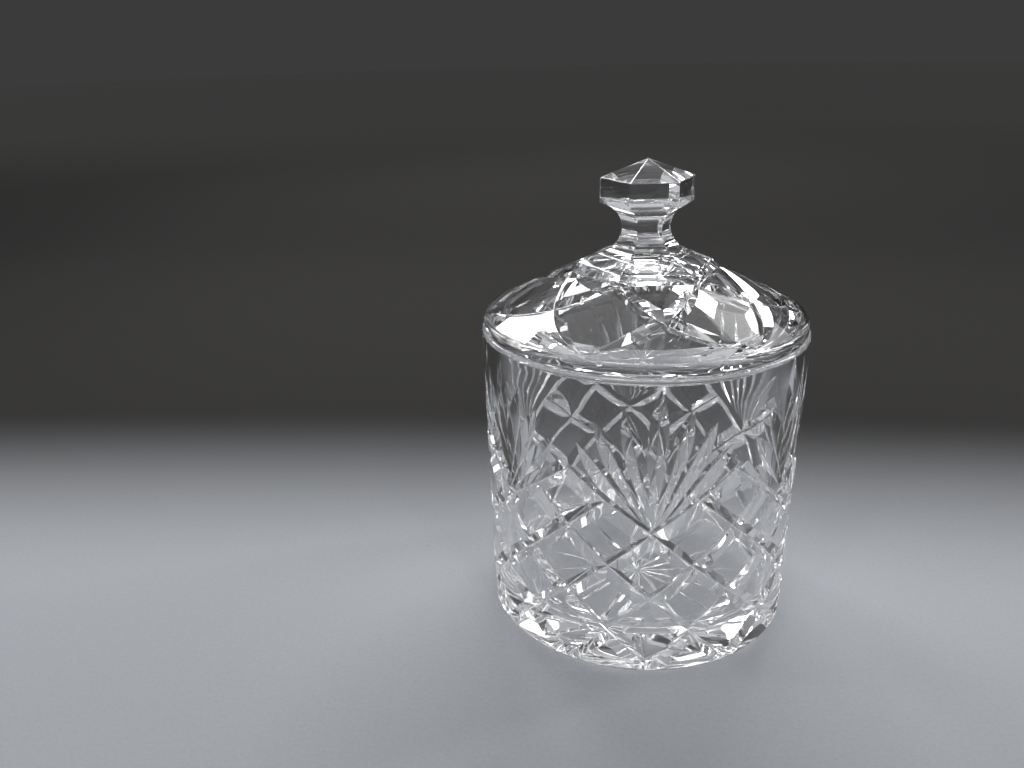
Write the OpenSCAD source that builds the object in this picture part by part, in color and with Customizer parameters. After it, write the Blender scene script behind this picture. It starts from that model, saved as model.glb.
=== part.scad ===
// Cut-crystal biscuit jar with a lift-off lid: a heavy glass barrel cut with six fans over a
// trellis of diamonds, and a low domed lid cut with crossing arcs below a six-sided knob.
// Millimetres, +Z up, origin on the table under the middle of the jar.
// A place on the glass is [angle, height] or [angle, radius]. Angles start at the front (-Y)
// and grow towards +X.

/* [Jar] */
// Height of the jar from the table to its rim
jar_h = 118.5; // [116:0.5:122]
// Outside radius at the rim
rim_r = 62.2; // [61.8:0.1:63]
// Outside radius at the foot
foot_r = 60.2; // [59.5:0.1:61]
// Thickness of the wall
wall_t = 6; // [5.5:0.25:7]
// Thickness of the base in the middle
base_t = 12; // [10:0.5:14]

/* [Cut pattern of the jar] */
// Height of the roots that the fans grow from
fan_root_z = 58.3; // [57:0.25:60]
// Height of the peaks between two fans
peak_z = 81.2; // [79:0.25:83]
// Height of the lowest row of trellis crossings
trellis_low_z = 1.4; // [1.2:0.1:2.4]
// Depth of the trellis grooves at their crossings
trellis_depth = 2.2; // [1.7:0.05:2.4]
// Depth of the zigzag at its bends
zigzag_depth = 2.7; // [2:0.05:2.8]
// Depth of a fan leaf at its widest place
leaf_depth = 2.2; // [1.6:0.1:2.4]
// Depth of the star under the base
star_depth = 2; // [1.5:0.1:2.4]

/* [Lid] */
// Outside radius of the lid's lip
lid_r = 61.2; // [60.5:0.1:61.7]
// Height of the lip's upright face
lip_h = 2.3; // [2:0.1:3]
// Height of the dome, from the jar's rim to the foot of the stem
dome_h = 26.9; // [26:0.1:27.6]
// Thickness of the dome
lid_t = 6.2; // [5.8:0.1:7]
// Play between the lid's locating ring and the jar's mouth
ring_play = 1.2; // [0.8:0.1:2]
// How far the locating ring reaches down into the mouth
ring_h = 4.5; // [3:0.25:6]
// Depth of the crossing arcs on the dome, where they cross
arc_depth = 1.9; // [1.5:0.1:2.2]
// Turn of the lid in its seat, in degrees
lid_turn = 5; // [0:1:30]

/* [Knob] */
// Radius to the corners of the six-sided knob
knob_r = 17.5; // [17:0.1:18]
// Height of the knob's upright band
knob_band_h = 9.2; // [8:0.2:10]
// Height of the shallow point on top of the knob
knob_point_h = 6.4; // [5:0.2:7]
// Distance from the axis to the flats at the stem's waist
waist_r = 7.9; // [7.4:0.1:8.4]
// Radius of the hollow that shapes each side of the stem
stem_hollow_r = 9.6; // [9.2:0.1:9.8]

/* [Hidden] */
$fn = 180;
glass = [0.80, 0.82, 0.85, 0.45];
over = 1;              // how far a cutter stands proud of what it cuts
mitre = 51;            // half the angle of the V that the cutting wheel leaves
broad_mitre = 56;      // the same for the broader wheel of the leaves
arc_mitre = 64;        // the same for the flat wheel of the arcs

fans = 6;
panel = 360 / fans;
pitch = panel / 4;     // angle between neighbouring crossings of a row
// heights of the rows of crossings, hand-cut and so not quite even
row_z = [trellis_low_z, 16.6, 30.9, 44.4, fan_root_z];
rows = len(row_z) - 1;
last_row_h = row_z[rows] - row_z[rows - 1];
zigzag_rise = (peak_z - fan_root_z) / (panel / 2);
// how far up one more diamond a trellis line meets the zigzag
zigzag_part = 2 * zigzag_rise / (zigzag_rise + last_row_h / pitch);
joint_run = 0.3;       // how far a groove runs past its crossing
foot_part = 0.7;       // share of a lowest groove, from above, before it runs out at the heel
// Tips of a fan's seven leaves, hand-cut and so not quite even: [angle, height above the root]
leaf_tips = [
    [-25.4, 34.7], [-19.6, 44], [-10.2, 49.8], [1, 56.5], [11.3, 49.4], [19.3, 43.5], [26.2, 34.6]
];
leaf_belly = 0.68;     // how far up a leaf is widest
leaf_root_depth = 0.8;
star_rays = 16;
star_r = 47;

heel = 2.2;            // radius of the rounded heel
rim_round = 1.8;       // radius of the rounded rim
floor_round = 9;       // inside, where the wall meets the base
mouth_r = rim_r - wall_t;
floor_r = foot_r - wall_t;
lean = atan((rim_r - foot_r) / jar_h);

shoulder = 2.9;        // radius of the rounded edge between the lip and the dome
stem_r = 15.8;         // where the line of the dome reaches the foot of the stem
shoulder_at = [lid_r - shoulder, jar_h + lip_h];
dome_run = shoulder_at - [stem_r, jar_h + dome_h];
dome_slope = atan(-dome_run[1] / dome_run[0]) - asin(shoulder / norm(dome_run));
ring_r = mouth_r - ring_play;
ring_t = 6;            // thickness of the locating ring
hex_r = 27.6;          // corners of the six-sided groove round the stem
hex_flat = hex_r * cos(30);
hex_depth = 1.1;       // depth of that groove at its corners
hex_z = dome_z(hex_r) - hex_depth;
plinth_r = 25.4;       // corners of the six-sided plinth that rises inside that groove
plinth_flat = plinth_r * cos(30);
plinth_z = dome_z(plinth_flat);
arc_start_depth = 0.8; // depth of an arc at the corner where it starts
arc_cross_r = 42.5;    // where two arcs cross
arc_uneven = 0.05;     // arcs that run one way are this much deeper, cut by hand
arc_end_r = 60.4;      // where the wheel has left the glass again, beyond the shoulder
arc_end_lift = 0.3;    // how far it is above the line of the dome there
arc_lead = 8;          // turn of the wheel before an arc's corner, under the plinth

stem_root = 0.3;       // upright strip between the plinth and the hollows of the stem
knob_flat = knob_r * cos(30);
hollow_half = sqrt(pow(stem_hollow_r, 2) - pow(waist_r + stem_hollow_r - knob_flat, 2));
waist_z = jar_h + dome_h + stem_root + hollow_half;
knob_z = waist_z + hollow_half;
knob_top = knob_z + knob_band_h;

function wall_r(z) = foot_r + (rim_r - foot_r) * z / jar_h;
function dome_z(r) = jar_h + dome_h - (r - stem_r) * tan(dome_slope);
// A place [angle, radius, depth] that lies `depth` below the dome
function in_dome(place) =
    let (r = place[1] - place[2] * sin(dome_slope))
        [r * sin(place[0]), -r * cos(place[0]), dome_z(place[1]) - place[2] * cos(dome_slope)];
function unit(v) = v / norm(v);

// Section of every V-groove: its sharp edge at the origin, opening towards -Y.
module vee(deep, half) {
    polygon([[0, 0], [deep * tan(half), -deep], [-deep * tan(half), -deep]]);
}

// A straight V-groove ground into the jar's wall from place a to place b, with its own depth
// below the wall at each end.
module wall_groove(a, b, depth_a, depth_b, half, run = 0) {
    mid = (a + b) / 2;
    r = wall_r(mid[1]);
    turn = b[0] - a[0];
    chord = 2 * r * sin(turn / 2);
    up = b[1] - a[1];
    len = norm([chord, up]);
    dip = (depth_a + depth_b) / 2 + r * (1 - cos(turn / 2));
    rotate([0, 0, mid[0]])
        translate([0, -r, mid[1]])
            rotate([lean, 0, 0])
                rotate([0, -atan2(up, chord), 0])
                    translate([0, dip, 0])
                        rotate([0, 90, atan((depth_b - depth_a) / len)])
                            linear_extrude(len + 2 * run, center = true)
                                vee(2 * (dip + over), half);
}

// Diamond trellis round the lower half. Lines that meet a fan's root stop there, and the
// lines between them run on to the zigzag. A line is cut diamond by diamond, as the wall bends,
// and its lowest stretch rises out of the glass before it reaches the heel.
module trellis_cuts() {
    for (k = [0 : 2 * fans - 1], side = [-1, 1], row = [0 : k % 2 == 0 ? rows - 1 : rows]) {
        start = [k * panel / 2 + row * side * pitch, row_z[row]];
        step = row == rows ? zigzag_part * [side * pitch, last_row_h]
                           : [side * pitch, row_z[row + 1] - row_z[row]];
        from = row == 0 ? start + (1 - foot_part) * step : start;
        wall_groove(from, start + step, trellis_depth, trellis_depth, mitre, joint_run);
        if (row == 0)
            wall_groove(start, from, 0, trellis_depth, mitre);
    }
}

// Zigzag between the trellis and the fans, each side in two stretches, as the wall bends.
module zigzag_cuts() {
    for (k = [0 : fans - 1], side = [-1, 1], half = [0, 1]) {
        root = [k * panel, fan_root_z];
        step = [side * panel / 4, (peak_z - fan_root_z) / 2];
        wall_groove(root + half * step, root + (half + 1) * step,
                    zigzag_depth, zigzag_depth, mitre, joint_run);
    }
}

// One fan: seven leaves from one root. Each leaf deepens from the root to its widest place
// and runs out to a point.
module fan_cuts() {
    for (leaf = leaf_tips) {
        root = [0, fan_root_z];
        tip = root + leaf;
        belly = root + leaf_belly * (tip - root);
        wall_groove(root, belly, leaf_root_depth, leaf_depth, broad_mitre);
        wall_groove(belly, tip, leaf_depth, 0, broad_mitre);
    }
}

// Star of cuts under the base, each deepest in the middle and running out to a point.
module star_cuts() {
    for (k = [0 : star_rays - 1])
        rotate([0, 0, k * 360 / star_rays])
            translate([0, 0, star_depth])
                rotate([90 + atan(star_depth / star_r), 0, 0])
                    linear_extrude(star_r + 2 * over)
                        vee(star_depth + 2 * over, mitre);
}

// Section of the barrel: tapered wall, rounded heel and rim, and a dished inner corner.
module jar_section() {
    difference() {
        polygon([[0, 0], [foot_r, 0], [rim_r, jar_h], [0, jar_h]]);
        polygon([
            [0, base_t], [floor_r - floor_round, base_t], [floor_r - floor_round / 4, base_t + 3],
            [floor_r + over / 4, base_t + floor_round], [mouth_r, jar_h],
            [mouth_r, jar_h + over], [0, jar_h + over]
        ]);
        translate([foot_r - heel, 0])
            difference() {
                translate([0, -over]) square(heel + over);
                translate([0, heel]) circle(heel, $fn = 48);
            }
        translate([rim_r - rim_round, jar_h - rim_round])
            difference() {
                square(rim_round + over);
                circle(rim_round, $fn = 48);
            }
    }
}

module jar() {
    color(glass)
        difference() {
            rotate_extrude() jar_section();
            trellis_cuts();
            zigzag_cuts();
            for (k = [0 : fans - 1]) rotate([0, 0, k * panel]) fan_cuts();
            star_cuts();
        }
}

// Section of the lid: dome of even thickness that stops under the plinth, rounded shoulder,
// upright lip, flat seat and locating ring.
module lid_section() {
    inner_r = ring_r - ring_t;
    drop = lid_t / cos(dome_slope);
    top_r = plinth_flat + over / 2;
    rounds = 3;
    polygon(concat(
        [
            [inner_r, jar_h - ring_h], [ring_r, jar_h - ring_h], [ring_r, jar_h],
            [lid_r, jar_h]
        ],
        [
            for (k = [0 : rounds])
                shoulder_at + shoulder * [cos(k / rounds * (90 - dome_slope)),
                                          sin(k / rounds * (90 - dome_slope))]
        ],
        [
            [top_r, dome_z(top_r)], [0, dome_z(top_r)],
            [0, dome_z(stem_r) - drop], [stem_r, dome_z(stem_r) - drop],
            [inner_r, dome_z(inner_r) - drop]
        ]
    ));
}

// A curved V-groove over the dome, through three places below its face. They fix the plane and
// the circle that the wheel's edge follows. It starts a little before the first of them.
module dome_groove(a, b, c) {
    p = in_dome(a);
    ab = in_dome(b) - p;
    ac = in_dome(c) - p;
    m = cross(ab, ac);
    centre = p + (cross(m, ab) * (ac * ac) + cross(ac, m) * (ab * ab)) / (2 * m * m);
    r = norm(p - centre);
    z = unit(m) * sign(m[2]);
    x = unit(p - centre);
    y = cross(z, x);
    end = p + ac - centre;
    swing = atan2(end * y, end * x);
    deep = arc_depth + 2 * over;
    multmatrix([
        [x[0], y[0], z[0], centre[0]], [x[1], y[1], z[1], centre[1]],
        [x[2], y[2], z[2], centre[2]]
    ])
        rotate([0, 0, swing > 0 ? -arc_lead : swing])
            rotate_extrude(angle = abs(swing) + arc_lead, $fn = 360)
                translate([r, 0]) mirror([0, 1]) vee(deep, arc_mitre);
}

// Twelve arcs over the dome, six each way: from a corner of the six-sided groove, across the
// arc that comes the other way, to a point at the shoulder.
module arc_cuts() {
    for (k = [0 : fans - 1], side = [-1, 1])
        dome_groove([k * panel - side * panel / 2, hex_r, arc_start_depth + side * arc_uneven],
                    [k * panel, arc_cross_r, arc_depth + side * arc_uneven],
                    [k * panel + side * panel / 2, arc_end_r, -arc_end_lift]);
}

// Six straight grooves round the plinth. Their edges lie a little inside its faces.
module hex_cuts() {
    deep = 6;
    inset = 0.6;
    for (k = [0 : fans - 1])
        rotate([0, 0, k * panel])
            translate([0, inset - hex_flat, hex_z - inset * tan(90 - mitre - dome_slope)])
                rotate([dome_slope, 0, 0])
                    rotate([90, 0, 90])
                        linear_extrude(hex_r + 2 * over, center = true)
                            mirror([0, 1]) vee(deep, mitre);
}

// Six-sided plinth under the stem: steep faces rise out of the groove to a shallow top.
module plinth() {
    root = 1.5;
    spread = (hex_r - plinth_r) / (plinth_z - hex_z);
    translate([0, 0, hex_z - root])
        cylinder(h = plinth_z - hex_z + root, r1 = hex_r + root * spread, r2 = plinth_r, $fn = 6);
    translate([0, 0, plinth_z])
        cylinder(h = jar_h + dome_h - plinth_z, r1 = plinth_r, r2 = knob_r - over / 4, $fn = 6);
}

// Six-sided stem and knob: a six-sided bar, hollowed on each side and pointed on top.
module stem_and_knob() {
    bar_z = jar_h + dome_h - lid_t;
    difference() {
        translate([0, 0, bar_z])
            cylinder(h = knob_top + knob_point_h + over - bar_z, r = knob_r, $fn = 6);
        for (k = [0 : 5])
            rotate([0, 0, 60 * k]) {
                translate([0, -waist_r - stem_hollow_r, waist_z])
                    rotate([0, 90, 0])
                        cylinder(h = 4 * knob_r, r = stem_hollow_r, center = true);
                translate([0, -knob_flat, knob_top])
                    rotate([atan(knob_point_h / knob_flat), 0, 0])
                        translate([-2 * knob_r, -over, 0])
                            cube([4 * knob_r, 4 * knob_r, 2 * knob_r]);
            }
    }
}

module lid() {
    color(glass)
        rotate([0, 0, lid_turn]) {
            difference() {
                rotate_extrude() lid_section();
                arc_cuts();
                hex_cuts();
            }
            plinth();
            stem_and_knob();
        }
}

jar();
lid();
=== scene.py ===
import math

import bpy
import numpy as np
from mathutils import Matrix, Vector


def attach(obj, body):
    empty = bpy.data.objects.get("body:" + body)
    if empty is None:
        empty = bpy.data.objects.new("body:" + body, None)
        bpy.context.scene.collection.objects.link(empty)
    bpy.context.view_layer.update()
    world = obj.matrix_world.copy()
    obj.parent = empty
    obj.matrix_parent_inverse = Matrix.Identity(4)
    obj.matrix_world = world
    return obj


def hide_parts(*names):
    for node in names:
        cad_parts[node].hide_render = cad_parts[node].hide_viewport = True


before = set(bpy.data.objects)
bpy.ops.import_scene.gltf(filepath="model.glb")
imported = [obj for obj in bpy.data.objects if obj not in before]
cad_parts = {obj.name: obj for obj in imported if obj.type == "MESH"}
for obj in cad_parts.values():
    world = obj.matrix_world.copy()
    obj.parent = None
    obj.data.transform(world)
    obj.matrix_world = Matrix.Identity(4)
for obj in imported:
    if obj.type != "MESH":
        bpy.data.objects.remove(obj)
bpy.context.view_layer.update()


# The jar: a heavy barrel of clear lead crystal, blown into a mould and ground. Its rim and heel
# are rounded and fire-bright. Wheels have cut the wall: a trellis of diamonds below, a zigzag,
# and six fans of seven leaves above. A star of rays is cut under the base.
MM = 0.001
JAR_H = 118.5
RIM_R = 62.15
FOOT_R = 60.2
WALL_T = 6.0
BORE_R = RIM_R - WALL_T
BASE_T = 12.0
HEEL_ROUND = 2.2
RIM_ROUND = 1.8
MOUTH_ROUND = 1.2
FLOOR_ROUND = 9.0
JAR_SIDES = 288

# Turns round the jar are in degrees, heights and depths in millimetres.
FANS = 6
PANEL = 60.0  # turn from one fan to the next
PITCH = 15.0  # turn of a trellis line from one row of crossings to the next
ROW_Z = (1.4, 16.6, 30.9, 44.4, 58.3)
PEAK_Z = 81.2
ROOT_Z = ROW_Z[-1]
ZIGZAG_RISE = (PEAK_Z - ROOT_Z) / (PANEL / 2)
TRELLIS_DEPTH = 2.6
TRELLIS_OVERRUN = 0.3  # turn by which a trellis line runs past the root of a fan
FOOT_RUN = 0.28  # share of its lowest stretch in which a trellis line reaches its depth
ZIGZAG_DEPTH = 3.1
ZIGZAG_OVERRUN = 0.25  # turn by which the strokes of the zigzag cross at its corners
LEAF_TIPS = (
    (-25.4, 34.7),
    (-19.6, 44.0),
    (-10.2, 49.8),
    (1.0, 56.5),
    (11.3, 49.4),
    (19.3, 43.5),
    (26.2, 34.6),
)  # turn and rise of each tip from the fan's root
LEAF_BELLY = 0.68
LEAF_DEPTH = 2.3
LEAF_ROOT_DEPTH = 0.8
STAR_RAYS = 16
STAR_R = 47.0
STAR_DEPTH = 2.0

# The cutting wheels have V-shaped edges, given by the angle from the middle to a flank. The acid
# polish then rounds each cut's edges and its root, but a shallow cut less than a deep one.
MITRE = 51.0
BROAD_MITRE = 56.0
EASE, EASE_SHARE = 0.5, 0.6
ROOT_ROUND, ROOT_SHARE = 0.6, 0.3
FEATHER = 0.05  # depth at which a cut runs out
WHEEL_CLEAR = (0.3, 1.6)  # how far the wheel stands out beside and above the glass
WALL_STEP, FOOT_STEP, LEAF_STEP = 1.5, 0.7, 1.2
RAY_STEPS = 24

SECTION_GENTLE = 30  # a turned section bends smoothly below this many degrees
JAR_GENTLE = 24
ON_AXIS = 1e-9
NO_LENGTH = 1e-12


def arc(centre, radius, start, end, steps):
    """Points (r, z) on an arc of a turned section, with angles in degrees from +r."""
    turns = [math.radians(start + (end - start) * k / steps) for k in range(steps + 1)]
    return [
        (centre[0] + radius * math.cos(a), centre[1] + radius * math.sin(a))
        for a in turns
    ]


def new_mesh(name, verts, faces):
    mesh = bpy.data.meshes.new(name)
    mesh.from_pydata([[c * MM for c in v] for v in verts], [], faces)
    obj = bpy.data.objects.new(name, mesh)
    bpy.context.scene.collection.objects.link(obj)
    return obj


def turned(name, section, sides):
    """A solid turned from a section that starts and ends on the axis. Each face keeps the
    number of its stretch of the section, counted from 1, for smooth shading later."""
    rings = section[1:-1]
    verts = [(0, 0, section[0][1])]
    for r, z in rings:
        for k in range(sides):
            a = 2 * math.pi * k / sides
            verts.append((r * math.sin(a), -r * math.cos(a), z))
    verts.append((0, 0, section[-1][1]))
    last = len(verts) - 1
    faces, stretch = [], []
    for k in range(sides):
        n = (k + 1) % sides
        faces.append((0, 1 + n, 1 + k))
        stretch.append(1)
        for j in range(len(rings) - 1):
            a, b = 1 + j * sides, 1 + (j + 1) * sides
            faces.append((a + k, a + n, b + n, b + k))
            stretch.append(j + 2)
        a = 1 + (len(rings) - 1) * sides
        faces.append((a + k, a + n, last))
        stretch.append(len(rings) + 1)
    obj = new_mesh(name, verts, faces)
    mark = obj.data.attributes.new("stretch", "INT", "FACE")
    mark.data.foreach_set("value", stretch)
    return obj


def skinned(rows):
    """A closed solid through rows of places that all have the same number of places."""
    count = len(rows[0])
    verts = [p for row in rows for p in row]
    faces = []
    for k in range(len(rows) - 1):
        a, b = k * count, (k + 1) * count
        for j in range(count):
            n = (j + 1) % count
            faces.append((a + j, a + n, b + n, b + j))
    faces.append(tuple(range(count - 1, -1, -1)))
    faces.append(tuple(range(len(verts) - count, len(verts))))
    return verts, faces


def groove(path, half):
    """The solid that a wheel takes away along a path of (place, outward normal, depth):
    a V with eased edges and a fine rounded root, following the curve of the glass."""
    places = [np.array(p, float) for p, _, _ in path]
    lean = math.radians(90 - half)
    rows = []
    for k, (_, normal, depth) in enumerate(path):
        n = np.array(normal, float)
        n /= np.linalg.norm(n)
        along = places[min(k + 1, len(path) - 1)] - places[max(k - 1, 0)]
        side = np.cross(along, n)
        side /= np.linalg.norm(side)
        root = min(ROOT_ROUND, ROOT_SHARE * depth)
        ease = min(EASE, EASE_SHARE * depth)
        flat = ease * math.tan(lean / 2)
        drop = depth - root * (1 - math.cos(lean))
        edge = root * math.sin(lean) + drop / math.tan(lean)
        flank = [
            (edge + flat + WHEEL_CLEAR[0], -WHEEL_CLEAR[1]),
            (edge + flat, 0.0),
            (
                edge + flat - ease * math.sin(lean / 2),
                ease * (1 - math.cos(lean / 2)),
            ),
            (edge - flat * math.cos(lean), flat * math.sin(lean)),
        ]
        flank += [
            (root * math.sin(a), depth - root * (1 - math.cos(a)))
            for a in (lean, lean / 2)
        ]
        outline = flank + [(0.0, depth)] + [(-s, d) for s, d in reversed(flank)]
        rows.append([places[k] + side * s - n * d for s, d in outline])
    return skinned(rows)


def cut(obj, cuts, operation="DIFFERENCE"):
    """Takes a set of cuts that don't touch each other out of a solid, or joins one to it."""
    verts, faces = [], []
    for v, f in cuts:
        base = len(verts)
        verts += list(v)
        faces += [tuple(base + k for k in face) for face in f]
    tool = new_mesh("tool", verts, faces)
    step = obj.modifiers.new("step", "BOOLEAN")
    step.operation = operation
    step.solver = "MANIFOLD"
    step.object = tool
    shape = bpy.data.meshes.new_from_object(
        obj.evaluated_get(bpy.context.evaluated_depsgraph_get())
    )
    obj.modifiers.remove(step)
    old = obj.data
    obj.data = shape
    bpy.data.meshes.remove(old)
    bpy.data.objects.remove(tool)


def smooth_section(section):
    """Two normals (r, z) for each stretch of a section, one at each end, shared with the next
    stretch wherever the section turns gently."""
    p = np.array(section, float)
    d = np.diff(p, axis=0)
    length = np.linalg.norm(d, axis=1)
    n = np.stack([d[:, 1], -d[:, 0]], axis=1) / length[:, None]
    ends = np.stack([n, n], axis=1)
    for k in range(len(n) - 1):
        if n[k] @ n[k + 1] > math.cos(math.radians(SECTION_GENTLE)):
            both = n[k] * length[k] + n[k + 1] * length[k + 1]
            both /= np.linalg.norm(both)
            ends[k, 1] = both
            ends[k + 1, 0] = both
    return ends


def shade(obj, section, gentle):
    """Shading normals: turned faces take the section's own curve, and cut faces share a normal
    with neighbours that turn by less than `gentle` degrees, so that edges stay crisp."""
    mesh = obj.data
    mesh.validate()
    count = len(mesh.polygons)
    normal = np.zeros(count * 3)
    area = np.zeros(count)
    stretch = np.zeros(count, int)
    totals = np.zeros(count, int)
    corner = np.zeros(len(mesh.loops), int)
    co = np.zeros(len(mesh.vertices) * 3)
    mesh.polygons.foreach_get("normal", normal)
    mesh.polygons.foreach_get("area", area)
    mesh.polygons.foreach_get("loop_total", totals)
    mesh.loops.foreach_get("vertex_index", corner)
    mesh.vertices.foreach_get("co", co)
    mesh.attributes["stretch"].data.foreach_get("value", stretch)
    normal = normal.reshape(-1, 3)
    co = co.reshape(-1, 3) / MM
    face = np.repeat(np.arange(count), totals)

    ends = smooth_section(section)
    p = np.array(section, float)
    k = np.clip(stretch[face] - 1, 0, len(p) - 2)
    at = co[corner]
    radius = np.hypot(at[:, 0], at[:, 1])
    d = p[k + 1] - p[k]
    t = ((radius - p[k, 0]) * d[:, 0] + (at[:, 2] - p[k, 1]) * d[:, 1]) / (d * d).sum(1)
    t = np.clip(t, 0, 1)[:, None]
    rz = ends[k, 0] * (1 - t) + ends[k, 1] * t
    out = at[:, :2] / np.maximum(radius, ON_AXIS)[:, None]
    curve = np.column_stack([out * rz[:, :1], rz[:, 1]])
    curve /= np.linalg.norm(curve, axis=1)[:, None]
    is_turned = stretch[face] > 0

    wall = {}
    for loop in np.nonzero(is_turned)[0]:
        wall[corner[loop]] = curve[loop]
    order = np.argsort(corner, kind="stable")
    split = np.searchsorted(corner[order], np.arange(len(co) + 1))
    limit = math.cos(math.radians(gentle))
    weighted = normal * area[:, None]
    result = np.where(is_turned[:, None], curve, 0.0)
    for v in range(len(co)):
        loops = order[split[v] : split[v + 1]]
        loops = loops[~is_turned[loops]]
        if not len(loops):
            continue
        faces = face[loops]
        near = normal[faces] @ normal[faces].T > limit
        total = near @ weighted[faces]
        on_wall = wall.get(v)
        if on_wall is not None:
            gentle_here = normal[faces] @ on_wall > limit
            total[gentle_here] = on_wall
        size = np.linalg.norm(total, axis=1)
        empty = size < NO_LENGTH
        total[empty] = normal[faces][empty]
        size[empty] = 1
        result[loops] = total / size[:, None]
    mesh.polygons.foreach_set("use_smooth", [True] * count)
    mesh.normals_split_custom_set(result.tolist())


def wall_place(angle, z):
    """A place on the jar's wall, with its outward normal."""
    a = math.radians(angle)
    r = FOOT_R + (RIM_R - FOOT_R) * z / JAR_H
    tilt = (RIM_R - FOOT_R) / JAR_H
    return (r * math.sin(a), -r * math.cos(a), z), (math.sin(a), -math.cos(a), -tilt)


def wall_path(a, b, depth, step=WALL_STEP):
    """Places along a straight line of the unrolled wall, with depth a function of 0 to 1."""
    span = math.hypot(math.radians(b[0] - a[0]) * RIM_R, b[1] - a[1])
    count = max(2, round(span / step))
    path = []
    for k in range(count + 1):
        t = k / count
        place, normal = wall_place(a[0] + (b[0] - a[0]) * t, a[1] + (b[1] - a[1]) * t)
        path.append((place, normal, depth(t)))
    return path


def leaf_depth(t):
    """A leaf is shallow at its root, deepest at its belly, and runs out in a pointed arch."""
    if t < LEAF_BELLY:
        rise = (LEAF_BELLY - t) / LEAF_BELLY
        return LEAF_DEPTH - (LEAF_DEPTH - LEAF_ROOT_DEPTH) * rise**2
    fall = (t - LEAF_BELLY) / (1 - LEAF_BELLY)
    return max(FEATHER, LEAF_DEPTH * (1 - fall**2))


def foot_depth(t):
    """The lowest stretch of a trellis line dives into the glass just above the heel."""
    return max(FEATHER, TRELLIS_DEPTH * (1 - max(0, 1 - t / FOOT_RUN) ** 2))


def lines_from_foot(side):
    """All the trellis lines that climb towards one side, each bent at its crossings. Every
    second one ends at the root of a fan, and the others climb on to meet the zigzag."""
    top_row = len(ROW_Z) - 1
    rise = (ROW_Z[top_row] - ROW_Z[top_row - 1]) / PITCH
    cuts = []
    for k in range(2 * FANS):
        start = k * PANEL / 2
        path = []
        for row in range(top_row):
            path += wall_path(
                (start + side * PITCH * row, ROW_Z[row]),
                (start + side * PITCH * (row + 1), ROW_Z[row + 1]),
                foot_depth if row == 0 else lambda t: TRELLIS_DEPTH,
                FOOT_STEP if row == 0 else WALL_STEP,
            )[:-1]
        top = (start + side * PITCH * top_row, ROW_Z[top_row])
        reach = TRELLIS_OVERRUN
        if k % 2:
            reach = (PEAK_Z - ROOT_Z) / (ZIGZAG_RISE + rise)
        path += wall_path(
            top, (top[0] + side * reach, top[1] + rise * reach), lambda t: TRELLIS_DEPTH
        )
        cuts.append(groove(path, MITRE))
    return cuts


def zigzag_strokes(side):
    """The strokes of the zigzag that rise towards one side, one from the root of each fan."""
    low = ROOT_Z - ZIGZAG_OVERRUN * ZIGZAG_RISE
    high = PEAK_Z + ZIGZAG_OVERRUN * ZIGZAG_RISE
    cuts = []
    for k in range(FANS):
        path = wall_path(
            (k * PANEL - side * ZIGZAG_OVERRUN, low),
            (k * PANEL + side * (PANEL / 2 + ZIGZAG_OVERRUN), high),
            lambda t: ZIGZAG_DEPTH,
        )
        cuts.append(groove(path, MITRE))
    return cuts


def leaves(turn, rise):
    """The same leaf of all six fans, from the fan's root to a tip."""
    cuts = []
    for k in range(FANS):
        path = wall_path(
            (k * PANEL, ROOT_Z), (k * PANEL + turn, ROOT_Z + rise), leaf_depth, LEAF_STEP
        )
        cuts.append(groove(path, BROAD_MITRE))
    return cuts


def star_ray(angle):
    """A ray of the star and the one across from it: one cut, deepest at the middle."""
    path = []
    for step in range(-RAY_STEPS, RAY_STEPS + 1):
        share = step / RAY_STEPS
        reach = STAR_R * share
        place = (reach * math.sin(angle), -reach * math.cos(angle), 0)
        path.append((place, (0, 0, -1), max(FEATHER, STAR_DEPTH * (1 - abs(share)))))
    return groove(path, MITRE)


heel_centre = (FOOT_R - HEEL_ROUND, HEEL_ROUND)
rim_centre = (RIM_R - RIM_ROUND, JAR_H - RIM_ROUND)
mouth_centre = (BORE_R + MOUTH_ROUND, JAR_H - MOUTH_ROUND)
floor_centre = (FOOT_R - WALL_T - FLOOR_ROUND, BASE_T + FLOOR_ROUND)
jar_section = (
    [(0, 0)]
    + arc(heel_centre, HEEL_ROUND, -90, 0, 8)
    + arc(rim_centre, RIM_ROUND, 0, 90, 7)
    + arc(mouth_centre, MOUTH_ROUND, 90, 180, 5)
    + arc(floor_centre, FLOOR_ROUND, 0, -90, 12)
    + [(0, BASE_T)]
)
jar = turned("jar_crystal", jar_section, JAR_SIDES)
for side in (-1, 1):
    cut(jar, lines_from_foot(side))
for side in (-1, 1):
    cut(jar, zigzag_strokes(side))
for turn, rise in LEAF_TIPS:
    cut(jar, leaves(turn, rise))
for k in range(STAR_RAYS // 2):
    cut(jar, [star_ray(2 * math.pi * k / STAR_RAYS)])
shade(jar, jar_section, JAR_GENTLE)


def linear(hex_colour):
    """An sRGB hex colour as linear RGBA."""
    channels = [int(hex_colour[k : k + 2], 16) / 255 for k in (1, 3, 5)]
    return [
        c / 12.92 if c <= 0.04045 else ((c + 0.055) / 1.055) ** 2.4 for c in channels
    ] + [1.0]


def add(tree, kind, settings=None, links=None):
    """Adds a node, gives its sockets and properties their settings, and links its inputs."""
    made = tree.nodes.new(kind)
    for name, value in (settings or {}).items():
        if isinstance(name, int) or name in made.inputs:
            made.inputs[name].default_value = value
        else:
            setattr(made, name, value)
    for name, source in (links or {}).items():
        tree.links.new(source, made.inputs[name])
    return made


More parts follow.
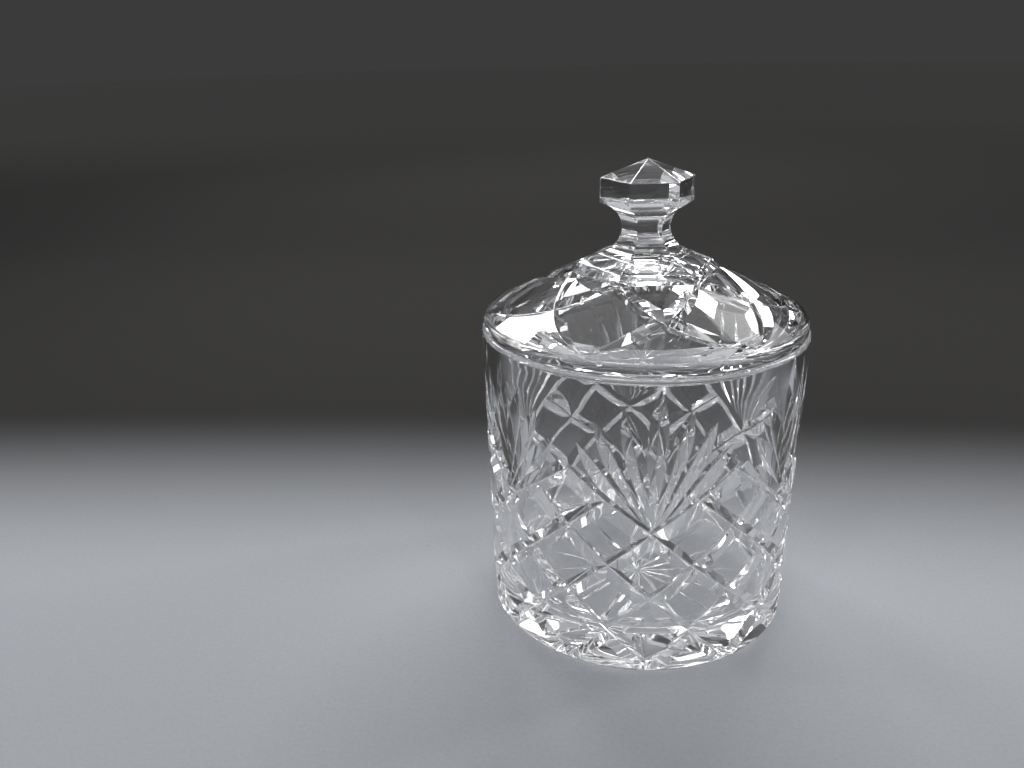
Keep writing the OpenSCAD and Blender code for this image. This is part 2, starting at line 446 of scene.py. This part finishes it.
# Lead crystal: colourless and bright. Acid polish leaves a very faint waviness and haze on the
# cuts. The bore was never cut, so it keeps the soft swell of blown glass, a few tenths of a
# millimetre over 26 mm, and what is seen through it swims. Sizes are in millimetres.
WAVE_SIZE, WAVE_HEIGHT = 9.0, 0.02
HAZE_SIZE, HAZE_ROUGHNESS = 14.0, 0.035
SWELL_SIZE, SWELL_HEIGHT = 26.0, 1.1
# The swell starts, and is whole, at these distances outside the bore, above the foot and below
# the rim, so that the outer wall, the star and the rim have none of it.
BORE_BLEND = (1.2, 0.3)
STAR_BLEND = (4.0, 9.0)
RIM_BLEND = (5.0, 13.0)
lead_crystal = bpy.data.materials.new("acid_polished_lead_crystal")
lead_crystal.use_nodes = True
tree = lead_crystal.node_tree
tree.nodes.clear()
place = add(tree, "ShaderNodeTexCoord")
wave = add(
    tree,
    "ShaderNodeTexNoise",
    {"Scale": 1000 / WAVE_SIZE, "Detail": 1.0, "Roughness": 0.4},
    {"Vector": place.outputs["Object"]},
)
flat_place = add(
    tree,
    "ShaderNodeVectorMath",
    {"operation": "MULTIPLY", 1: (1 / MM, 1 / MM, 0)},
    {0: place.outputs["Object"]},
)
off_axis = add(
    tree, "ShaderNodeVectorMath", {"operation": "LENGTH"}, {0: flat_place.outputs[0]}
)
in_bore = add(
    tree,
    "ShaderNodeMapRange",
    {"From Min": BORE_R + BORE_BLEND[0], "From Max": BORE_R + BORE_BLEND[1]},
    {"Value": off_axis.outputs["Value"]},
)
level = add(tree, "ShaderNodeSeparateXYZ", {}, {0: place.outputs["Object"]})
over_star = add(
    tree,
    "ShaderNodeMapRange",
    {"From Min": STAR_BLEND[0] * MM, "From Max": STAR_BLEND[1] * MM},
    {"Value": level.outputs["Z"]},
)
under_rim = add(
    tree,
    "ShaderNodeMapRange",
    {
        "From Min": (JAR_H - RIM_BLEND[0]) * MM,
        "From Max": (JAR_H - RIM_BLEND[1]) * MM,
    },
    {"Value": level.outputs["Z"]},
)
blown = add(
    tree,
    "ShaderNodeTexNoise",
    {"Scale": 1000 / SWELL_SIZE, "Detail": 0.5},
    {"Vector": place.outputs["Object"]},
)
swell = add(
    tree, "ShaderNodeMath", {"operation": "SUBTRACT", 1: 0.5}, {0: blown.outputs["Fac"]}
)
swell_height = swell.outputs[0]
for share in (in_bore, over_star, under_rim):
    product = add(
        tree,
        "ShaderNodeMath",
        {"operation": "MULTIPLY"},
        {0: swell_height, 1: share.outputs["Result"]},
    )
    swell_height = product.outputs[0]
bore_swell = add(
    tree,
    "ShaderNodeBump",
    {"Strength": 1.0, "Distance": SWELL_HEIGHT * MM},
    {"Height": swell_height},
)
faint_wave = add(
    tree,
    "ShaderNodeBump",
    {"Strength": 1.0, "Distance": WAVE_HEIGHT * MM},
    {"Height": wave.outputs["Fac"], "Normal": bore_swell.outputs["Normal"]},
)
haze = add(
    tree,
    "ShaderNodeTexNoise",
    {"Scale": 1000 / HAZE_SIZE, "Detail": 3.0, "Roughness": 0.6},
    {"Vector": place.outputs["Object"]},
)
bloom = add(
    tree,
    "ShaderNodeMapRange",
    {"From Min": 0.35, "From Max": 0.75, "To Min": 0.0, "To Max": HAZE_ROUGHNESS},
    {"Value": haze.outputs["Fac"]},
)
crystal = add(
    tree,
    "ShaderNodeBsdfPrincipled",
    {
        "Base Color": linear("#f8f8f8"),
        "IOR": 1.545,
        "Transmission Weight": 1.0,
        "Specular IOR Level": 0.5,
    },
    {"Roughness": bloom.outputs["Result"], "Normal": faint_wave.outputs["Normal"]},
)
tinted_shadow = add(tree, "ShaderNodeBsdfTransparent", {"Color": linear("#cccccc")})
light = add(tree, "ShaderNodeLightPath")
glass = add(
    tree,
    "ShaderNodeMixShader",
    {},
    {
        0: light.outputs["Is Shadow Ray"],
        1: crystal.outputs[0],
        2: tinted_shadow.outputs[0],
    },
)
add(tree, "ShaderNodeOutputMaterial", {}, {"Surface": glass.outputs[0]})
jar.data.materials.clear()
jar.data.materials.append(lead_crystal)
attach(jar, "jar_body")
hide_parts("jar")


# The lid: pressed and cut from the same crystal, a low dome with an upright lip and a ring below
# that drops into the jar's mouth. Twelve arcs cross in pairs between a six-sided groove and the
# lip. The stem and the six-sided knob are ground flat and stand on a six-sided foot.
LID_TURN = 5.0
LID_R = 61.2
LIP_H = 2.3
LIP_EASE = 0.8
SHOULDER = 2.9
DOME_H = 26.9
STEM_R = 15.8
LID_T = 6.2
RING_R = 55.0
RING_T = 6.0
RING_H = 4.5
RING_ROUND, RING_BEVEL = 1.0, 0.3
UNDER_STEM = 2.0  # the hollow's flat top is this much narrower than the stem's foot
LID_SIDES = 288
LID_GENTLE = 20

ARC_CROSS_R = 42.5
ARC_END_R = 58.6
ARC_DEPTH = 1.7
ARC_DEEPEST = (0.45, 0.55)  # shares of an arc's run before and after its deepest place
ARC_FADE = 2.2
ARC_MITRE = 66.0
ARC_STEPS = 44

HEX_R = 27.6
HEX_DEPTH = 1.1
FLUTE_INSET = 0.6
FLUTE_OVERRUN = 0.6
FLUTE_STEPS = 14
PLINTH_R = 25.4
PLINTH_OVER = 0.5  # the dome goes on this far under the plinth
KNOB_R = 17.5
KNOB_BAND_H = 9.2
KNOB_POINT_H = 6.4
KNOB_TIP = (0.5, 0.2)  # half width of the point and how much of it is rounded away
WAIST_R = 7.9
STEM_FOOT_H = 0.3
STEM_HOLLOW_R = 9.6
WAIST_STEPS = 9
FLAT_EASE, FLAT_EASE_SHARE = 0.5, 0.4
CORNER_TURNS = (-30, -10, 10, 30)

# Eased bends of the plinth, the stem and the knob: (outwards, upwards) from the sharp bend.
FLUTE_SIDE = (0.85, -1.5)
PLINTH_BEND = ((0.22, -0.45), (0.05, -0.17), (-0.12, -0.02), (-0.45, 0.2))
STEM_BEND = ((0.35, -0.16), (0.05, 0.05))
HOLLOW_LOW, HOLLOW_IN, HOLLOW_HIGH = 0.05, 0.02, 0.35  # below, inside and above the hollow
KNOB_BEND = ((0.0, -0.25), (-0.15, -0.02), (-0.5, 0.2))

dome_run = (LID_R - SHOULDER - STEM_R, DOME_H - LIP_H)
dome_slope = math.atan2(dome_run[1], dome_run[0]) - math.asin(
    SHOULDER / math.hypot(*dome_run)
)


def dome_z(r):
    return JAR_H + DOME_H - (r - STEM_R) * math.tan(dome_slope)


def dome_path(places, depths):
    """Places on the dome from pairs (x, y), with the dome's normal and a depth for each."""
    path = []
    for (x, y), depth in zip(places, depths):
        r = math.hypot(x, y)
        normal = (
            x / r * math.sin(dome_slope),
            y / r * math.sin(dome_slope),
            math.cos(dome_slope),
        )
        path.append(((x, y, dome_z(r)), normal, depth))
    return path


def turned_by(cut_shape, angle):
    c, s = math.cos(math.radians(angle)), math.sin(math.radians(angle))
    verts, faces = cut_shape
    return [(c * x - s * y, s * x + c * y, z) for x, y, z in verts], faces


def dome_arc(side):
    """One arc in plan, through a corner of the six-sided groove, the crossing and the lip."""
    half = math.radians(PANEL / 2)
    a = np.array((-side * HEX_R * math.sin(half), -HEX_R * math.cos(half)))
    b = np.array((0.0, -ARC_CROSS_R))
    c = np.array((side * ARC_END_R * math.sin(half), -ARC_END_R * math.cos(half)))
    m = np.array([b - a, c - a])
    centre = np.linalg.solve(2 * m, [(b @ b) - (a @ a), (c @ c) - (a @ a)])
    radius = np.linalg.norm(a - centre)
    first = math.atan2(*(a - centre)[::-1])
    last = math.atan2(*(c - centre)[::-1])
    sweep = (last - first + math.pi) % (2 * math.pi) - math.pi
    before, after = ARC_DEEPEST
    places, depths = [], []
    for k in range(ARC_STEPS + 1):
        t = k / ARC_STEPS
        turn = first + sweep * t
        places.append(
            (centre[0] + radius * math.cos(turn), centre[1] + radius * math.sin(turn))
        )
        far = abs(t - before) / after
        depths.append(max(FEATHER, ARC_DEPTH * (1 - far**ARC_FADE)))
    return dome_path(places, depths)


def hexagon_ring(flat, z, ease=FLAT_EASE):
    """A ring of a six-sided bar at one height, with eased corners. `flat` is the distance from
    the axis to a side."""
    ring = []
    ease = min(ease, flat * FLAT_EASE_SHARE)
    reach = (flat - ease) / math.cos(math.radians(30))
    for k in range(6):
        for turn in CORNER_TURNS:
            corner = math.radians(60 * k + 30)
            a = math.radians(60 * k + 30 + turn)
            ring.append(
                (
                    reach * math.sin(corner) + ease * math.sin(a),
                    -reach * math.cos(corner) - ease * math.cos(a),
                    z,
                )
            )
    return ring


stem_z = JAR_H + DOME_H
hex_flat = HEX_R * math.cos(math.radians(30))
hex_z = dome_z(HEX_R) - HEX_DEPTH
plinth_flat = PLINTH_R * math.cos(math.radians(30))
plinth_z = dome_z(plinth_flat)
knob_flat = KNOB_R * math.cos(math.radians(30))
hollow_half = math.sqrt(STEM_HOLLOW_R**2 - (WAIST_R + STEM_HOLLOW_R - knob_flat) ** 2)
waist_z = stem_z + STEM_FOOT_H + hollow_half
knob_z = waist_z + hollow_half
knob_top = knob_z + KNOB_BAND_H
bar = [(hex_flat + FLUTE_SIDE[0], hex_z + FLUTE_SIDE[1])]
bar += [(plinth_flat + out, plinth_z + up) for out, up in PLINTH_BEND]
bar += [(knob_flat + out, stem_z + up) for out, up in STEM_BEND]
bar.append((knob_flat, waist_z - hollow_half - HOLLOW_LOW))
limit = math.asin(hollow_half / STEM_HOLLOW_R)
for k in range(2 * WAIST_STEPS + 1):
    turn = limit * (k / WAIST_STEPS - 1)
    flat = WAIST_R + STEM_HOLLOW_R * (1 - math.cos(turn))
    bar.append((flat - HOLLOW_IN, waist_z + STEM_HOLLOW_R * math.sin(turn)))
bar.append((knob_flat, knob_z + HOLLOW_HIGH))
bar += [(knob_flat + out, knob_top + up) for out, up in KNOB_BEND]
rings = [hexagon_ring(flat, z) for flat, z in bar]
rings.append(hexagon_ring(KNOB_TIP[0], knob_top + KNOB_POINT_H - KNOB_TIP[1], KNOB_TIP[1]))

drop = LID_T / math.cos(dome_slope)
inner_r = RING_R - RING_T
ring_z = JAR_H - RING_H
under_z = dome_z(STEM_R) - drop
plinth_edge = plinth_flat + PLINTH_OVER
lid_section = (
    [(0, under_z), (STEM_R - UNDER_STEM, under_z)]
    + [(inner_r, dome_z(inner_r) - drop)]
    + [(inner_r, ring_z + RING_ROUND), (inner_r + RING_BEVEL, ring_z + RING_BEVEL)]
    + [(inner_r + RING_ROUND, ring_z)]
    + arc((RING_R - RING_ROUND, ring_z + RING_ROUND), RING_ROUND, -90, 0, 4)
    + [(RING_R, JAR_H)]
    + arc((LID_R - LIP_EASE, JAR_H + LIP_EASE), LIP_EASE, -90, 0, 4)
    + arc(
        (LID_R - SHOULDER, JAR_H + LIP_H),
        SHOULDER,
        0,
        90 - math.degrees(dome_slope),
        7,
    )
    + [(plinth_edge, dome_z(plinth_edge)), (0, dome_z(plinth_edge))]
)
lid = turned("lid_crystal", lid_section, LID_SIDES)
for side in (-1, 1):
    arc_cut = groove(dome_arc(side), ARC_MITRE)
    for k in range(FANS):
        cut(lid, [turned_by(arc_cut, k * PANEL)])
half_side = HEX_R / 2 + FLUTE_OVERRUN
flute_z = hex_z - FLUTE_INSET * math.tan(math.radians(90 - MITRE) - dome_slope)
places = [
    (half_side * s / FLUTE_STEPS, FLUTE_INSET - hex_flat)
    for s in range(-FLUTE_STEPS, FLUTE_STEPS + 1)
]
depths = [
    (dome_z(math.hypot(x, y)) - flute_z) * math.cos(dome_slope) for x, y in places
]
flute = groove(dome_path(places, depths), MITRE)
for k in range(FANS):
    cut(lid, [turned_by(flute, k * PANEL)])
cut(lid, [skinned(rings)], "UNION")
shade(lid, lid_section, LID_GENTLE)
lid.data.transform(Matrix.Rotation(math.radians(LID_TURN), 4, "Z"))
lid.data.materials.clear()
lid.data.materials.append(lead_crystal)
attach(lid, "lid_body")
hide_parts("lid")


# The floor it stands on: one wide sheet of studio paper, matt, with a very fine tooth. It is pale
# grey in front, where the jar stands, and behind it its colour fades to charcoal, painted shade
# where the light falls off; far off it turns back to a middle grey, painted lighter to make up
# for the lamps' falloff there. The distances of its fades are in metres.
PALE_CENTRE = (-0.2, -6.0, 0.0)
PALE_R, PALE_FADE = 5.985, 0.20
FAR_R, FAR_FADE = 6.6, 1.25
TOOTH = 1.5  # millimetres; real paper's is finer, and this is as coarse as it needs to show
SHEET_R, SHEET_Z = 4000.0, -0.05
SHEET_SIDES = 96
paper = bpy.data.materials.new("paper_with_painted_shade_behind")
paper.use_nodes = True
tree = paper.node_tree
tree.nodes.clear()
place = add(tree, "ShaderNodeTexCoord")
tooth = add(
    tree,
    "ShaderNodeTexNoise",
    {"Scale": 1000 / TOOTH, "Detail": 2.0},
    {"Vector": place.outputs["Object"]},
)
pale = add(
    tree,
    "ShaderNodeMix",
    {"data_type": "RGBA", 6: linear("#9da0a5"), 7: linear("#a9acb1")},
    {0: tooth.outputs["Fac"]},
)
# Painted shade: beyond PALE_R from a centre far in front, the pale paper fades to charcoal behind
# the jar.
from_front = add(
    tree,
    "ShaderNodeVectorMath",
    {"operation": "DISTANCE", 1: PALE_CENTRE},
    {0: place.outputs["Object"]},
)
fade = add(
    tree,
    "ShaderNodeMapRange",
    {
        "interpolation_type": "SMOOTHSTEP",
        "From Min": PALE_R,
        "From Max": PALE_R + PALE_FADE,
    },
    {"Value": from_front.outputs["Value"]},
)
far_off = add(
    tree,
    "ShaderNodeMapRange",
    {
        "interpolation_type": "SMOOTHSTEP",
        "From Min": FAR_R,
        "From Max": FAR_R + FAR_FADE,
    },
    {"Value": from_front.outputs["Value"]},
)
# The painted shade itself: charcoal behind the jar, turning to a middle grey far off, painted
# lighter to make up for the lamps' falloff there.
charcoal = add(
    tree,
    "ShaderNodeMix",
    {"data_type": "RGBA", 6: linear("#252423"), 7: linear("#646361")},
    {0: far_off.outputs["Result"]},
)
tone = add(
    tree,
    "ShaderNodeMix",
    {"data_type": "RGBA"},
    {0: fade.outputs["Result"], 6: pale.outputs[2], 7: charcoal.outputs[2]},
)
sheet = add(
    tree,
    "ShaderNodeBsdfPrincipled",
    {"Roughness": 0.95, "Specular IOR Level": 0.2},
    {"Base Color": tone.outputs[2]},
)
add(tree, "ShaderNodeOutputMaterial", {}, {"Surface": sheet.outputs[0]})
edge = []
for k in range(SHEET_SIDES):
    turn = 2 * math.pi * k / SHEET_SIDES
    edge.append((SHEET_R * math.sin(turn), SHEET_R * math.cos(turn), SHEET_Z))
floor = new_mesh("floor", edge, [tuple(range(SHEET_SIDES))[::-1]])
floor.data.materials.append(paper)


# Soft studio light: three panels stand behind and above, the two at the left and the middle
# bright and the right one dim. Narrow strips at both sides and small lamps in front draw thin
# bright lines on the edges of the cuts. The room is charcoal behind and grey around and overhead.
BACKDROP_EDGE = (0.8, 0.1)  # how far ahead, of 1, the backdrop starts to end and has ended
ROOM_LIFT = 0.65
ROOM_LIGHT = 0.2
LIGHT_AIM = (0, 0, 0.06)
world = bpy.data.worlds.new("grey_studio")
bpy.context.scene.world = world
world.use_nodes = True
tree = world.node_tree
tree.nodes.clear()
place = add(tree, "ShaderNodeTexCoord")
aim = add(tree, "ShaderNodeSeparateXYZ", {}, {0: place.outputs["Generated"]})
off_backdrop = add(
    tree,
    "ShaderNodeMapRange",
    {
        "interpolation_type": "SMOOTHSTEP",
        "From Min": BACKDROP_EDGE[0],
        "From Max": BACKDROP_EDGE[1],
        "To Max": ROOM_LIFT,
    },
    {"Value": aim.outputs["Y"]},
)
height = add(
    tree,
    "ShaderNodeMath",
    {},
    {0: aim.outputs["Z"], 1: off_backdrop.outputs["Result"]},
)
wall_tone = add(tree, "ShaderNodeValToRGB", {}, {0: height.outputs[0]})
tones = wall_tone.color_ramp.elements
tones[0].position, tones[0].color = 0.25, linear("#3c3b3b")
tones[1].position, tones[1].color = 0.85, linear("#c9cacd")
tones.new(0.5).color = linear("#6b6b6e")
light = add(tree, "ShaderNodeLightPath")
either = add(
    tree,
    "ShaderNodeMath",
    {"operation": "MAXIMUM"},
    {0: light.outputs["Is Camera Ray"], 1: light.outputs["Is Glossy Ray"]},
)
any_view = add(
    tree,
    "ShaderNodeMath",
    {"operation": "MAXIMUM"},
    {0: either.outputs[0], 1: light.outputs["Is Transmission Ray"]},
)
seen = add(tree, "ShaderNodeBackground", {"Strength": 1.0}, {0: wall_tone.outputs[0]})
lit = add(
    tree, "ShaderNodeBackground", {0: linear("#ffffff"), "Strength": ROOM_LIGHT}
)
both = add(
    tree,
    "ShaderNodeMixShader",
    {},
    {0: any_view.outputs[0], 1: lit.outputs[0], 2: seen.outputs[0]},
)
add(tree, "ShaderNodeOutputWorld", {}, {"Surface": both.outputs[0]})


def studio_light(name, place, size, power):
    """A flat rectangular lamp that faces the jar, with its place and size in metres."""
    lamp = bpy.data.lights.new(name, "AREA")
    lamp.shape = "RECTANGLE"
    lamp.size, lamp.size_y = size
    lamp.energy = power
    holder = bpy.data.objects.new(name, lamp)
    bpy.context.scene.collection.objects.link(holder)
    holder.location = place
    towards = Vector(LIGHT_AIM) - Vector(place)
    holder.rotation_euler = towards.to_track_quat("-Z", "Y").to_euler()


studio_light("panel_behind", (0.11, 0.6, 0.81), (0.56, 0.15), 5.6)
studio_light("panel_left", (-0.42, 0.67, 0.66), (0.22, 0.32), 2.9)
studio_light("panel_far_right", (0.48, 0.57, 0.73), (0.3, 0.4), 0.6)
studio_light("strip_right", (0.8, 0.3, 0.55), (0.08, 0.6), 2.0)
studio_light("strip_left", (-0.85, 0.0, 0.3), (0.05, 0.5), 1.2)
studio_light("lamp_front", (0.4, -0.8, 1.0), (0.14, 0.14), 1.5)
studio_light("lamp_front_left", (-0.5, -0.75, 0.55), (0.06, 0.24), 1.0)


# The camera stands a little left of the jar's front and looks down on it. Its focal length is
# given in pixels of a frame 1024 wide, its place in metres and its turns in degrees.
SENSOR_W = 36
FOCAL_PX, FRAME_PX = 920, 1024
CAMERA_AT = (-0.03129, -0.33989, 0.22994)
YAW, TILT_DOWN, ROLL = -3.36, 22.04, -1.41
NEAREST = 0.01
BOUNCES = 32  # a view through both walls and the lid crosses many cut faces
MIRROR_BOUNCES = 16


def pointing(yaw, pitch, roll):
    """The rotation of a camera that is level and looks along +Y before its three turns."""
    forward = Vector(
        (
            math.sin(yaw) * math.cos(pitch),
            math.cos(yaw) * math.cos(pitch),
            -math.sin(pitch),
        )
    )
    level = Vector((math.cos(yaw), -math.sin(yaw), 0))
    up = level.cross(forward)
    right = level * math.cos(roll) + up * math.sin(roll)
    up = -level * math.sin(roll) + up * math.cos(roll)
    return Matrix((right, up, -forward)).transposed()


lens = bpy.data.cameras.new("camera")
lens.sensor_width = SENSOR_W
lens.lens = SENSOR_W * FOCAL_PX / FRAME_PX
lens.clip_start = NEAREST
camera = bpy.data.objects.new("camera", lens)
bpy.context.scene.collection.objects.link(camera)
turns = pointing(math.radians(YAW), math.radians(TILT_DOWN), math.radians(ROLL))
camera.matrix_world = Matrix.Translation(CAMERA_AT) @ turns.to_4x4()
bpy.context.scene.camera = camera
bpy.context.scene.view_settings.view_transform = "Standard"
bpy.context.scene.cycles.max_bounces = BOUNCES
bpy.context.scene.cycles.transmission_bounces = BOUNCES
bpy.context.scene.cycles.glossy_bounces = MIRROR_BOUNCES
